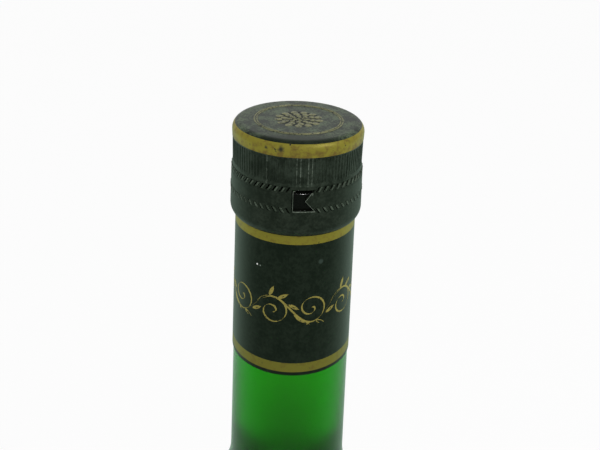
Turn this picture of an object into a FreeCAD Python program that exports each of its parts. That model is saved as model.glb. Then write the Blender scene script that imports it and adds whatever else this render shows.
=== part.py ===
"""A 70 cl cognac bottle of green glass, shut with a long black screw closure.

The closure is a ribbed cap, a slit tamper ring with a window, the collar that the
window shows, and a printed skirt round the neck. Millimetres, +Z up, the origin at
the centre of the face that the bottle stands on, its front towards -Y.
"""
import FreeCAD
import Part
import math
import os
import Sketcher

driving = {
    # glass: the body and its base
    "bodyDiameter": 78.8,
    "wall": 3.3,
    "heelRadius": 6.0,
    "bearingWidth": 3.4,
    "puntDepth": 11.0,
    "baseThickness": 5.0,
    # glass: shoulder, neck and finish, with heights from the bearing face
    "crownRadius": 40.0,
    "flareRadius": 30.0,
    "shoulderSlope": 34.0,
    "neckFootHeight": 201.3,
    "neckTopDiameter": 29.1,
    "neckWidening": 3.6,
    "neckLength": 76.7,
    "finishStep": 0.7,
    "finishLength": 20.4,
    "finishWall": 4.15,
    "boreTaperLength": 20.0,
    "lipRadius": 1.2,
    # drink
    "fillBelowMouth": 56.0,
    # cap, heights measured down from its top
    "capTopThickness": 1.8,
    "capWall": 1.0,
    "capHeight": 10.65,
    "rimEdgeRadius": 2.1,
    "rimBandHeight": 4.0,
    "rimBandBulge": 0.1,
    "medallionDiameter": 21.2,
    "medallionRings": 2,
    "medallionRingWidth": 0.35,
    "medallionRingCrest": 0.175,
    "medallionRingGap": 0.2,
    "medallionRelief": 0.12,
    # ribs of the cap
    "ribCount": 112,
    "ribDepth": 0.25,
    "ribWidth": 0.42,
    "ribCrest": 0.21,
    "ribLedgeHeight": 0.8,
    "ribLedgeOverhang": 0.08,
    # tamper ring
    "ringWall": 0.77,
    "ringShoulderHeight": 2.1,
    "ringFlare": 0.26,
    "ringCurlHeight": 1.97,
    "ringCurlRadius": 3.0,
    "slitCount": 58,
    "slitWidth": 0.45,
    "slitHeight": 1.25,
    "slitLean": 0.75,
    "slitTopMargin": 0.125,
    "slitWindowGap": 0.98,
    "tearBandHeight": 5.0,
    "windowWidth": 4.7,
    "windowHeight": 5.3,
    "windowAzimuth": 6.4,
    "windowNotch": 1.75,
    # collar
    "collarWall": 0.8,
    "collarDrop": 1.75,
    # skirt
    "skirtWall": 0.2,
    "skirtLength": 40.9,
    "skirtTuck": 0.8,
    # clearances
    "glassClearance": 0.1,
    "collarClearance": 0.15,
    "threadClearance": 0.4,
    "ringClearance": 0.25,
}

doc = FreeCAD.newDocument("cognacBottle")
sheet = doc.addObject("Spreadsheet::Sheet", "sizes")
for row, (alias, number) in enumerate(driving.items(), start=1):
    sheet.set(f"A{row}", alias)
    sheet.set(f"B{row}", str(number))
    sheet.setAlias(f"B{row}", alias)
doc.recompute()


class Measure:
    """A size that carries its number and the sheet formula that gives it."""

    def __init__(self, number, formula):
        self.number = number
        self.formula = formula

    def joined(self, other, sign, result):
        return Measure(result, f"({self.formula} {sign} {other.formula})")

    def __add__(self, other):
        other = measured(other)
        return self.joined(other, "+", self.number + other.number)

    def __sub__(self, other):
        other = measured(other)
        return self.joined(other, "-", self.number - other.number)

    def __mul__(self, other):
        other = measured(other)
        return self.joined(other, "*", self.number * other.number)

    def __truediv__(self, other):
        other = measured(other)
        return self.joined(other, "/", self.number / other.number)

    def __neg__(self):
        return Measure(-self.number, f"(0 - {self.formula})")


def measured(value):
    """A plain number as a Measure; a Measure as it is."""
    if isinstance(value, Measure):
        return value
    return Measure(float(value), repr(value))


def size(alias):
    """The sheet's value under this alias."""
    return Measure(float(sheet.get(alias)), f"sizes.{alias}")


# Sizes that more than one piece is built from. The closure's radii all start from the neck.
axis = measured(0)
half = 2
wholeTurn = measured(360)
bodyRadius = size("bodyDiameter") / half
bearingRadius = bodyRadius - size("heelRadius") - size("bearingWidth")
neckTopRadius = size("neckTopDiameter") / half
neckFootRadius = neckTopRadius + size("neckWidening") / half
neckTopHeight = size("neckFootHeight") + size("neckLength")
neckTaper = (neckFootRadius - neckTopRadius) / size("neckLength")
finishRadius = neckTopRadius - size("finishStep")
boreRadius = finishRadius - size("finishWall")
mouthHeight = neckTopHeight + size("finishLength")
capTopHeight = mouthHeight + size("capTopThickness")
capFootHeight = capTopHeight - size("capHeight")
capInnerRadius = finishRadius + size("threadClearance")
capRootRadius = capInnerRadius + size("capWall")
capRadius = capRootRadius + size("ribDepth")
capLedgeRadius = capRadius + size("ribLedgeOverhang")
collarInnerRadius = finishRadius + size("collarClearance")
skirtInnerRadius = neckTopRadius + size("glassClearance")
ringInnerRadius = skirtInnerRadius + size("skirtWall") + size("ringClearance")
ringRadius = ringInnerRadius + size("ringWall")
ringFootHeight = neckTopHeight - size("skirtTuck")


def neckRadius(height):
    """Radius of the neck's glass at a height on its taper."""
    return neckTopRadius + (neckTopHeight - height) * neckTaper


class Outline:
    """A closed chain of lines and arcs in a sketch, with its sizes bound to the sheet.

    Corners are given in order. A coordinate of None is left for the curves to settle, and
    its number then comes from the guess. An arc is the edge that follows its corner.
    """

    def __init__(self, body, name, planeRole="XZ_Plane"):
        self.sketch = body.newObject("Sketcher::SketchObject", name)
        self.sketch.AttachmentSupport = (originFeature(body, planeRole), [""])
        self.sketch.MapMode = "FlatFace"
        self.corners = []
        self.edges = []
        self.bound = 0

    def corner(self, across, up, guess=None):
        numbers = [guess[i] if value is None else value.number for i, value in enumerate((across, up))]
        self.corners.append((numbers, across, up))
        self.edges.append(None)
        return self

    def arc(self, radius, bulgesOut, tangent=(True, True)):
        """Makes the edge after the last corner an arc of this radius.

        bulgesOut tells whether it bends to the right of its direction of travel.
        """
        self.edges[-1] = {"radius": radius, "out": bulgesOut, "tangent": tangent, "bindRadius": True}

    def rounding(self, radius, tangent=(True, False)):
        """Makes that edge a quarter turn between two corners that are both set."""
        self.edges[-1] = {"radius": radius, "out": True, "tangent": tangent, "bindRadius": False}

    def dome(self):
        """Makes that edge an arc whose centre lies on the bottle's axis."""
        self.edges[-1] = {"radius": None, "out": False, "tangent": (False, False), "bindRadius": False}

    def bind(self, constraint, formula):
        index = self.sketch.addConstraint(constraint)
        self.bound += 1
        name = f"bound{self.bound}"
        self.sketch.renameConstraint(index, name)
        self.sketch.setExpression(f"Constraints.{name}", formula)

    def close(self):
        count = len(self.corners)
        ends = []
        for i, edge in enumerate(self.edges):
            start = FreeCAD.Vector(*self.corners[i][0], 0)
            end = FreeCAD.Vector(*self.corners[(i + 1) % count][0], 0)
            if edge is None:
                self.sketch.addGeometry(Part.LineSegment(start, end), False)
                ends.append((1, 2))
            else:
                ends.append(self.addArc(start, end, edge))
        for i in range(count):
            following = (i + 1) % count
            kind = "Tangent" if self.isSmooth(i, following) else "Coincident"
            joint = Sketcher.Constraint(kind, i, ends[i][1], following, ends[following][0])
            self.sketch.addConstraint(joint)
        for i, (numbers, across, up) in enumerate(self.corners):
            self.placeCorner(i, ends[i][0], "DistanceX", across, -2)
            self.placeCorner(i, ends[i][0], "DistanceY", up, -1)
        for i, edge in enumerate(self.edges):
            if edge is None:
                continue
            if edge["radius"] is None:
                self.sketch.addConstraint(Sketcher.Constraint("PointOnObject", i, 3, -2))
            elif edge["bindRadius"]:
                self.bind(Sketcher.Constraint("Radius", i, edge["radius"].number), edge["radius"].formula)
        return self.sketch

    def addArc(self, start, end, edge):
        chord = end - start
        if edge["radius"] is None:
            # equally far from both ends, and on the sketch's own vertical axis
            rise = (end.x ** 2 + end.y ** 2 - start.x ** 2 - start.y ** 2) / (2 * (end.y - start.y))
            centre = FreeCAD.Vector(0, rise, 0)
        else:
            toCentre = math.sqrt(max(edge["radius"].number ** 2 - (chord.Length / 2) ** 2, 0))
            left = FreeCAD.Vector(-chord.y, chord.x, 0).normalize()
            centre = (start + end) * 0.5 + left * (toCentre if edge["out"] else -toCentre)
        first = math.atan2(start.y - centre.y, start.x - centre.x)
        last = math.atan2(end.y - centre.y, end.x - centre.x)
        circle = Part.Circle(centre, FreeCAD.Vector(0, 0, 1), (start - centre).Length)
        if edge["out"]:
            self.sketch.addGeometry(Part.ArcOfCircle(circle, first, last), False)
            return 1, 2
        self.sketch.addGeometry(Part.ArcOfCircle(circle, last, first), False)
        return 2, 1

    def isSmooth(self, i, following):
        leaving = self.edges[i] is not None and self.edges[i]["tangent"][1]
        entering = self.edges[following] is not None and self.edges[following]["tangent"][0]
        return leaving or entering

    def placeCorner(self, edge, end, kind, value, axisLine):
        if value is None:
            return
        if value.number == 0:
            self.sketch.addConstraint(Sketcher.Constraint("PointOnObject", edge, end, axisLine))
        else:
            self.bind(Sketcher.Constraint(kind, -1, 1, edge, end, value.number), value.formula)


def originFeature(body, role):
    return next(feature for feature in body.Origin.OriginFeatures if feature.Role == role)


def newBody(label):
    body = doc.addObject("PartDesign::Body", label)
    body.Label = label
    return body


def turned(body, sketch, name, kind="PartDesign::Revolution"):
    """Turns a sketch once round the bottle's axis."""
    feature = body.newObject(kind, name)
    feature.Profile = sketch
    feature.ReferenceAxis = (sketch, ["V_Axis"])
    feature.Angle = 360
    doc.recompute()
    return feature


def shoulderCurve(outline, inset, lowEnd):
    """Draws the body wall, crown, slope and flare, from the end of the heel to the neck.

    inset is how far the line lies inside the glass's outer surface.
    """
    slope = math.radians(size("shoulderSlope").number)
    taper = math.atan(neckTaper.number)
    crown = size("crownRadius") - inset
    flare = size("flareRadius") + inset
    wallRadius = bodyRadius - inset
    footRadius = neckFootRadius - inset
    footHeight = size("neckFootHeight")
    flareCentre = (footRadius.number + flare.number * math.cos(taper),
                   footHeight.number + flare.number * math.sin(taper))
    flareEnd = (flareCentre[0] - flare.number * math.cos(slope),
                flareCentre[1] - flare.number * math.sin(slope))
    crownCentreAcross = wallRadius.number - crown.number
    crownStartAcross = crownCentreAcross + crown.number * math.cos(slope)
    run = (crownStartAcross - flareEnd[0]) / math.sin(slope)
    crownStart = (crownStartAcross, flareEnd[1] - run * math.cos(slope))
    crownEnd = (wallRadius.number, crownStart[1] - crown.number * math.sin(slope))
    outline.corner(wallRadius, lowEnd)
    outline.corner(wallRadius, None, crownEnd)
    outline.arc(crown, True)
    slopeEdge = len(outline.edges)
    outline.corner(None, None, crownStart)
    outline.corner(None, None, flareEnd)
    outline.arc(flare, False)
    outline.corner(footRadius, footHeight)
    return slopeEdge


def bindSlope(outline, edge):
    """Ties the straight of the shoulder to its angle from the bottle's axis."""
    angle = math.radians(90 + size("shoulderSlope").number)
    outline.bind(Sketcher.Constraint("Angle", edge, angle), "(90 + sizes.shoulderSlope) * 1 deg")


def makeGlass():
    """The bottle: body, sloping shoulder, long neck and a plain mouth, hollow inside."""
    body = newBody("bottle_glass")
    heel = size("heelRadius")
    lip = size("lipRadius")
    outer = Outline(body, "glassOutline")
    outer.corner(axis, size("puntDepth"))
    outer.dome()
    outer.corner(bearingRadius, axis)
    outer.corner(bodyRadius - heel, axis)
    outer.rounding(heel)
    slopeEdge = shoulderCurve(outer, measured(0), heel)
    outer.corner(neckTopRadius, neckTopHeight)
    outer.corner(finishRadius, neckTopHeight)
    outer.corner(finishRadius, mouthHeight - lip)
    outer.rounding(lip)
    outer.corner(finishRadius - lip, mouthHeight)
    outer.corner(axis, mouthHeight)
    sketch = outer.close()
    bindSlope(outer, slopeEdge)
    turned(body, sketch, "glassTurned")

    inner = Outline(body, "cavityOutline")
    cavityOutline(inner, axis, mouthHeight, boreRadius)
    turned(body, inner.sketch, "cavity", "PartDesign::Groove")
    return body


def cavityOutline(outline, clearance, topHeight, topRadius):
    """Draws the inside of the glass, or the drink that stands clear of it by the clearance."""
    inset = size("wall") + clearance
    floorHeight = size("baseThickness") + clearance
    corner = size("heelRadius")
    outline.corner(axis, size("puntDepth") + floorHeight)
    outline.dome()
    outline.corner(bearingRadius - corner, floorHeight)
    outline.corner(bodyRadius - inset - corner, floorHeight)
    outline.rounding(corner)
    slopeEdge = shoulderCurve(outline, inset, floorHeight + corner)
    if topHeight.number > neckTopHeight.number:
        boreTaperFoot = neckTopHeight - size("boreTaperLength")
        outline.corner(neckRadius(boreTaperFoot) - inset, boreTaperFoot)
        outline.corner(topRadius, neckTopHeight)
    outline.corner(topRadius, topHeight)
    outline.corner(axis, topHeight)
    outline.close()
    bindSlope(outline, slopeEdge)


def makeDrink():
    """The cognac, up to its level in the neck."""
    body = newBody("cognac")
    level = mouthHeight - size("fillBelowMouth")
    clearance = size("glassClearance")
    levelRadius = neckRadius(level) - size("wall") - clearance
    outline = Outline(body, "drinkOutline")
    cavityOutline(outline, clearance, level, levelRadius)
    turned(body, outline.sketch, "drinkTurned")
    return body


def makeCollar():
    """The plain black tube on the finish, which shows in the window of the ring."""
    body = newBody("inner_collar")
    inner = collarInnerRadius
    outer = collarInnerRadius + size("collarWall")
    top = capFootHeight - size("collarDrop")
    outline = Outline(body, "collarOutline")
    outline.corner(inner, neckTopHeight)
    outline.corner(outer, neckTopHeight)
    outline.corner(outer, top)
    outline.corner(inner, top)
    turned(body, outline.close(), "collarTurned")
    return body


def makeSkirt():
    """The thin printed skirt round the neck, from inside the ring to below the closure."""
    body = newBody("neck_sleeve")
    foot = neckTopHeight - size("skirtLength")
    footRadius = neckRadius(foot) + size("glassClearance")
    outline = Outline(body, "skirtOutline")
    outline.corner(footRadius, foot)
    outline.corner(footRadius + size("skirtWall"), foot)
    outline.corner(skirtInnerRadius + size("skirtWall"), neckTopHeight)
    outline.corner(skirtInnerRadius, neckTopHeight)
    turned(body, outline.close(), "skirtTurned")
    return body


def makeCap():
    """The screw cap: a round-edged rim band, fine ribs down to a ledge, two raised rings on top."""
    body = newBody("cap")
    edge = size("rimEdgeRadius")
    bandRadius = capRadius + size("rimBandBulge")
    bandFoot = capTopHeight - size("rimBandHeight")
    ledgeTop = capFootHeight + size("ribLedgeHeight")
    relief = size("medallionRelief")
    face = capTopHeight - relief
    ringWidth = size("medallionRingWidth")
    ringSlope = (ringWidth - size("medallionRingCrest")) / half
    outline = Outline(body, "capOutline")
    outline.corner(axis, mouthHeight)
    outline.corner(capInnerRadius, mouthHeight)
    outline.corner(capInnerRadius, capFootHeight)
    outline.corner(capLedgeRadius, capFootHeight)
    outline.corner(capLedgeRadius, ledgeTop)
    outline.corner(capRootRadius, ledgeTop)
    outline.corner(capRootRadius, bandFoot)
    outline.corner(capRadius, bandFoot)
    outline.corner(bandRadius, face - edge)
    outline.rounding(edge, tangent=(False, True))
    outline.corner(bandRadius - edge, face)
    outside = size("medallionDiameter") / half
    for _ in range(int(size("medallionRings").number)):
        outline.corner(outside, face)
        outline.corner(outside - ringSlope, capTopHeight)
        outline.corner(outside - ringWidth + ringSlope, capTopHeight)
        outline.corner(outside - ringWidth, face)
        outside = outside - ringWidth - size("medallionRingGap")
    outline.corner(axis, face)
    turned(body, outline.close(), "capTurned")

    ribLine = Outline(body, "ribOutline", "XY_Plane")
    # each rib runs a little into the ledge below it and the band above it
    ribFoot = ledgeTop - size("ribDepth")
    ribRoot = capRootRadius - size("ribDepth")
    halfFoot = size("ribWidth") / half
    halfCrest = size("ribCrest") / half
    ribLine.corner(-halfFoot, -ribRoot)
    ribLine.corner(-halfCrest, -capRadius)
    ribLine.corner(halfCrest, -capRadius)
    ribLine.corner(halfFoot, -ribRoot)
    sketch = ribLine.close()
    sketch.AttachmentOffset = FreeCAD.Placement(FreeCAD.Vector(0, 0, ribFoot.number), FreeCAD.Rotation())
    sketch.setExpression("AttachmentOffset.Base.z", ribFoot.formula)
    rib = body.newObject("PartDesign::Pad", "rib")
    rib.Profile = sketch
    ribLength = bandFoot - ribFoot + size("ribDepth")
    rib.Length = ribLength.number
    rib.setExpression("Length", ribLength.formula)
    around(body, rib, "ribs", "ribCount")
    return body


def around(body, feature, name, countAlias, span=None):
    """Repeats a feature round the bottle's axis, over the whole turn or over a span in degrees."""
    doc.recompute()
    pattern = body.newObject("PartDesign::PolarPattern", name)
    pattern.Originals = [feature]
    pattern.Axis = (originFeature(body, "Z_Axis"), [""])
    pattern.Angle = 360
    if span:
        pattern.setExpression("Angle", f"{span.formula} * 1 deg")
    pattern.Occurrences = int(size(countAlias).number)
    pattern.setExpression("Occurrences", size(countAlias).formula)
    body.Tip = pattern
    doc.recompute()
    return pattern


def cutThroughWall(body, name, corners, azimuth):
    """Cuts an outline through the ring's wall, at an azimuth from the front."""
    outline = Outline(body, f"{name}Outline")
    for across, up in corners:
        outline.corner(across, up)
    sketch = outline.close()
    # the outline stands just inside the wall, square to its radius, and is cut outwards
    inside = ringInnerRadius - size("ringWall")
    turn = math.radians(azimuth.number)
    place = FreeCAD.Vector(inside.number * math.sin(turn), 0, inside.number * math.cos(turn))
    upright = FreeCAD.Rotation(FreeCAD.Vector(0, 1, 0), azimuth.number)
    sketch.AttachmentOffset = FreeCAD.Placement(place, upright)
    sketch.setExpression("AttachmentOffset.Base.x", f"{inside.formula} * sin({azimuth.formula} * 1 deg)")
    sketch.setExpression("AttachmentOffset.Base.z", f"{inside.formula} * cos({azimuth.formula} * 1 deg)")
    sketch.setExpression("AttachmentOffset.Rotation.Angle", f"{azimuth.formula} * 1 deg")
    before = body.Shape.Volume
    wallsDeep = 3  # the margin inside, the wall and as much again outside
    depth = size("ringWall") * wallsDeep
    cut = body.newObject("PartDesign::Pocket", name)
    cut.Profile = sketch
    cut.Length = depth.number
    cut.setExpression("Length", depth.formula)
    cut.Reversed = True
    doc.recompute()
    if not body.Shape.Volume < before:
        raise RuntimeError(f"{name} cut nothing")
    return cut


def makeRing():
    """The tamper ring: two rows of leaning slits, and the window between their ends.

    It is flush with the cap at its top, widens to a shoulder and a little more below that,
    and curls in at its foot.
    """
    body = newBody("tamper_ring")
    flaredRadius = ringRadius + size("ringFlare")
    curlStart = ringFootHeight + size("ringCurlHeight")
    curl = size("ringCurlRadius")
    curlIn = curl.number - math.sqrt(curl.number ** 2 - size("ringCurlHeight").number ** 2)
    outline = Outline(body, "ringOutline")
    outline.corner(ringInnerRadius, ringFootHeight)
    outline.corner(None, ringFootHeight, (flaredRadius.number - curlIn, ringFootHeight.number))
    outline.arc(curl, True, tangent=(False, True))
    outline.corner(flaredRadius, curlStart)
    outline.corner(ringRadius, capFootHeight - size("ringShoulderHeight"))
    outline.corner(capLedgeRadius, capFootHeight)
    outline.corner(ringInnerRadius, capFootHeight)
    turned(body, outline.close(), "ringTurned")

    halfTall = size("slitHeight") / half
    upperRow = capFootHeight - size("slitTopMargin") - halfTall
    lowerRow = upperRow - size("tearBandHeight")
    halfWindow = size("windowWidth") / half
    windowTop = upperRow
    windowFoot = windowTop - size("windowHeight")
    notchHeight = (windowTop + windowFoot) / half
    windowCorners = [
        (-halfWindow, windowTop),
        (-halfWindow, windowFoot),
        (halfWindow, windowFoot),
        (halfWindow - size("windowNotch"), notchHeight),
        (halfWindow, windowTop),
    ]
    cutThroughWall(body, "window", windowCorners, size("windowAzimuth"))

    # the rows run from one side of the window all the way round to its other side
    endAngle = wholeTurn * (halfWindow + size("slitWindowGap")) / (ringRadius * 2 * math.pi)
    firstSlit = size("windowAzimuth") + endAngle
    slitSpan = wholeTurn - endAngle * 2
    halfSlit = size("slitWidth") / half
    for name, row, lean in (("upperSlit", upperRow, size("slitLean") / half),
                            ("lowerSlit", lowerRow, -(size("slitLean") / half))):
        slitCorners = [
            (-halfSlit - lean, row - halfTall),
            (halfSlit - lean, row - halfTall),
            (halfSlit + lean, row + halfTall),
            (-halfSlit + lean, row + halfTall),
        ]
        slit = cutThroughWall(body, name, slitCorners, firstSlit)
        around(body, slit, f"{name}s", "slitCount", slitSpan)
    return body


bodies = [makeGlass(), makeDrink(), makeCollar(), makeSkirt(), makeRing(), makeCap()]
doc.recompute()

for item in doc.Objects:
    if "Invalid" in item.State or "Error" in item.State:
        raise RuntimeError(f"{item.Name} failed: {item.State}")
for body in bodies:
    if body.Shape.isNull() or not body.Shape.isValid():
        raise RuntimeError(f"{body.Label} has no valid shape")
    if len(body.Shape.Solids) != 1:
        raise RuntimeError(f"{body.Label} is {len(body.Shape.Solids)} solids")

os.makedirs("parts", exist_ok=True)
for body in bodies:
    body.Shape.exportStep(f"parts/{body.Label}.step")
    box = body.Shape.BoundBox
    print(f"{body.Label}: {body.Shape.Volume / 1000:.2f} cm3, "
          f"{len(body.Shape.Faces)} faces, z {box.ZMin:.2f} to {box.ZMax:.2f}, "
          f"radius {box.XMax:.2f}")
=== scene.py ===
import math
import bpy
from mathutils import Matrix, Vector


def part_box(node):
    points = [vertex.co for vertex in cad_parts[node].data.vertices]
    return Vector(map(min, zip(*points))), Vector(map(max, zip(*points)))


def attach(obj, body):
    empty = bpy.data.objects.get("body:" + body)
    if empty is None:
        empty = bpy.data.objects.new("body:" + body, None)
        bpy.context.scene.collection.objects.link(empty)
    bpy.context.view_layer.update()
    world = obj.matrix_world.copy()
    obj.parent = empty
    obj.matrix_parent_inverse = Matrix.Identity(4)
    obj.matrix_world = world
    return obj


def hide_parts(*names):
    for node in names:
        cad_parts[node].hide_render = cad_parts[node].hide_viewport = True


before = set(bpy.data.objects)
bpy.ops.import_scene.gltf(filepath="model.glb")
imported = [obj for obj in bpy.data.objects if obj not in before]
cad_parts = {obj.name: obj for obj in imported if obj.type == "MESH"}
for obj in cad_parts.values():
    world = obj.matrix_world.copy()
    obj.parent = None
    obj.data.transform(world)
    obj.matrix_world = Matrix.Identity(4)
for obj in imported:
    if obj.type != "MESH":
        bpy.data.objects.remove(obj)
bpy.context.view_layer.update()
mm = 0.001
hair = 0.01 * mm  # small enough to part two faces that meet
fullTurn = 2 * math.pi
front = Vector((0, -1, 0))
capLow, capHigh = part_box("cap")
ringLow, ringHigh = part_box("tamper_ring")
collarLow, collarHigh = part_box("inner_collar")
skirtLow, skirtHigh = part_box("neck_sleeve")
glassLow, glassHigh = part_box("bottle_glass")
drinkLow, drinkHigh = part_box("cognac")
print("frame loaded")


def linear(hexColour):
    # sRGB hex to the linear colour that shaders work in
    parts = [int(hexColour[i:i + 2], 16) / 255 for i in (1, 3, 5)]
    return tuple(p / 12.92 if p <= 0.04045 else ((p + 0.055) / 1.055) ** 2.4 for p in parts) + (1.0,)


def addNode(tree, kind, settings=None, inputs=None):
    # settings are the node's own properties; an input is a value, or the socket it is linked from
    made = tree.nodes.new(kind)
    for name, value in (settings or {}).items():
        setattr(made, name, value)
    for name, value in (inputs or {}).items():
        if isinstance(value, bpy.types.NodeSocket):
            tree.links.new(value, made.inputs[name])
        else:
            made.inputs[name].default_value = value
    return made


def newMaterial(name):
    made = bpy.data.materials.new(name)
    made.use_nodes = True
    tree = made.node_tree
    tree.nodes.clear()
    output = addNode(tree, "ShaderNodeOutputMaterial")
    place = addNode(tree, "ShaderNodeTexCoord").outputs["Object"]
    return made, tree, output, place


def pickOnly(*pieces):
    bpy.ops.object.select_all(action="DESELECT")
    for piece in pieces:
        piece.select_set(True)
    bpy.context.view_layer.objects.active = pieces[0]


def startPiece(name, primitive, **settings):
    # adds a primitive and leaves it in edit mode with all of it selected
    bpy.ops.object.select_all(action="DESELECT")
    primitive(**settings)
    piece = bpy.context.object
    piece.name = name
    piece.data.name = name
    bpy.ops.object.mode_set(mode="EDIT")
    bpy.ops.mesh.select_all(action="SELECT")
    return piece


def endPiece(piece, materials=()):
    # closes edit mode and leaves the object at the origin with its place in its mesh
    bpy.ops.mesh.select_all(action="SELECT")
    bpy.ops.mesh.normals_make_consistent(inside=False)
    bpy.ops.object.mode_set(mode="OBJECT")
    pickOnly(piece)
    bpy.ops.object.transform_apply(location=True, rotation=True, scale=True)
    for material in materials:
        piece.data.materials.append(material)
    return piece


def selectWhere(piece, isWanted):
    # selects the faces of the active piece that a test on their centre and normal picks,
    # and leaves it in edit mode
    bpy.ops.object.mode_set(mode="OBJECT")
    for face in piece.data.polygons:
        face.select = isWanted(face.center, face.normal)
    wanted = {v for face in piece.data.polygons if face.select for v in face.vertices}
    for vertex in piece.data.vertices:
        vertex.select = vertex.index in wanted
    for edge in piece.data.edges:
        edge.select = all(v in wanted for v in edge.vertices)
    bpy.ops.object.mode_set(mode="EDIT")


def applyModifier(piece, kind, **settings):
    pickOnly(piece)
    modifier = piece.modifiers.new(kind.title(), kind)
    for name, value in settings.items():
        setattr(modifier, name, value)
    bpy.ops.object.modifier_apply(modifier=modifier.name)


def smooth(piece, degrees):
    pickOnly(piece)
    bpy.ops.object.shade_smooth_by_angle(angle=math.radians(degrees))


def weldAll():
    bpy.ops.mesh.select_all(action="SELECT")
    bpy.ops.mesh.remove_doubles(threshold=1e-6)
    bpy.ops.mesh.select_all(action="SELECT")


def drawLine(points, closed=False):
    # extrudes one vertex along the points; the plane it starts from is merged away
    bpy.ops.mesh.merge(type="CENTER")
    bpy.ops.transform.translate(value=points[0])
    for before, after in zip(points, points[1:] + (points[:1] if closed else [])):
        bpy.ops.mesh.extrude_region_move(TRANSFORM_OT_translate={"value": after - before})


def turnedPiece(name, profile, steps, materials, closed=False):
    # spins a profile of radii and heights round the bottle's axis
    piece = startPiece(name, bpy.ops.mesh.primitive_plane_add, size=mm)
    drawLine([Vector((radius, 0, height)) for radius, height in profile], closed)
    weldAll()
    bpy.ops.mesh.spin(steps=steps, angle=fullTurn, center=(0, 0, 0), axis=(0, 0, 1))
    weldAll()
    return endPiece(piece, materials)


def arcPoints(centre, radius, start, end, count):
    # an arc from one angle to another, in degrees from outwards towards up
    turns = [math.radians(start + (end - start) * i / count) for i in range(count + 1)]
    return [(centre[0] + radius * math.cos(a), centre[1] + radius * math.sin(a)) for a in turns]


def movedCopies(name, model, moves):
    # copies of a model, each with its own mesh and its own move, joined into one
    copies = []
    for move in moves:
        copy = model.copy()
        copy.data = model.data.copy()
        bpy.context.collection.objects.link(copy)
        copy.data.transform(move)
        copies.append(copy)
    bpy.data.objects.remove(model)
    return joined(name, *copies)


def turned(azimuth, size=4):
    return Matrix.Rotation(math.radians(azimuth), size, "Z")


def onWall(azimuth, radius, height):
    # a point at a given turn from the front
    return turned(azimuth, 3) @ front * radius + Vector((0, 0, height))


def joined(name, *pieces):
    pickOnly(*pieces)
    bpy.ops.object.join()
    piece = bpy.context.object
    piece.name = name
    piece.data.name = name
    return piece


def paintFaces(piece, index, isWanted):
    for face in piece.data.polygons:
        if isWanted(math.hypot(face.center.x, face.center.y), face.center.z):
            face.material_index = index


def settle(piece, slot, *nodes):
    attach(piece, "root")
    if nodes:
        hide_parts(*nodes)


# the camera stands in front of the closure and a little above it
cameraSettings = {
    "lens": 45.0,
    "sensor": 36.0,
    "place": Vector((0, -168.1, 358.3)) * mm,
    "down": 27.135,
    "heading": -0.446,
    "roll": 2.343,
}
camera = bpy.data.objects.new("viewCamera", bpy.data.cameras.new("viewCamera"))
camera.data.lens = cameraSettings["lens"]
camera.data.sensor_width = cameraSettings["sensor"]
camera.matrix_world = (Matrix.Translation(cameraSettings["place"])
                       @ turned(cameraSettings["heading"])
                       @ Matrix.Rotation(math.radians(90 - cameraSettings["down"]), 4, "X")
                       @ turned(cameraSettings["roll"]))
bpy.context.collection.objects.link(camera)
bpy.context.scene.camera = camera
bpy.context.scene.view_settings.view_transform = "Standard"
print("camera placed")


plasticLook = {
    "patch": 3.2 * mm,
    "halfWorn": 0.26,  # the two patterns multiplied give this where half the wear shows
    "frontShadeFade": (-12.5 * mm, -9.5 * mm),  # the front is painted darker as shade by taking its wear away; from where to where, going back, the wear returns in full
    # the colour of the painted highlight lines along a few ribs
    "wearAndSheen": "#687266",
    "sheen": "#DDF2D6",
    "bump": 0.04 * mm,
    "ior": 1.49,
}


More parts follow.
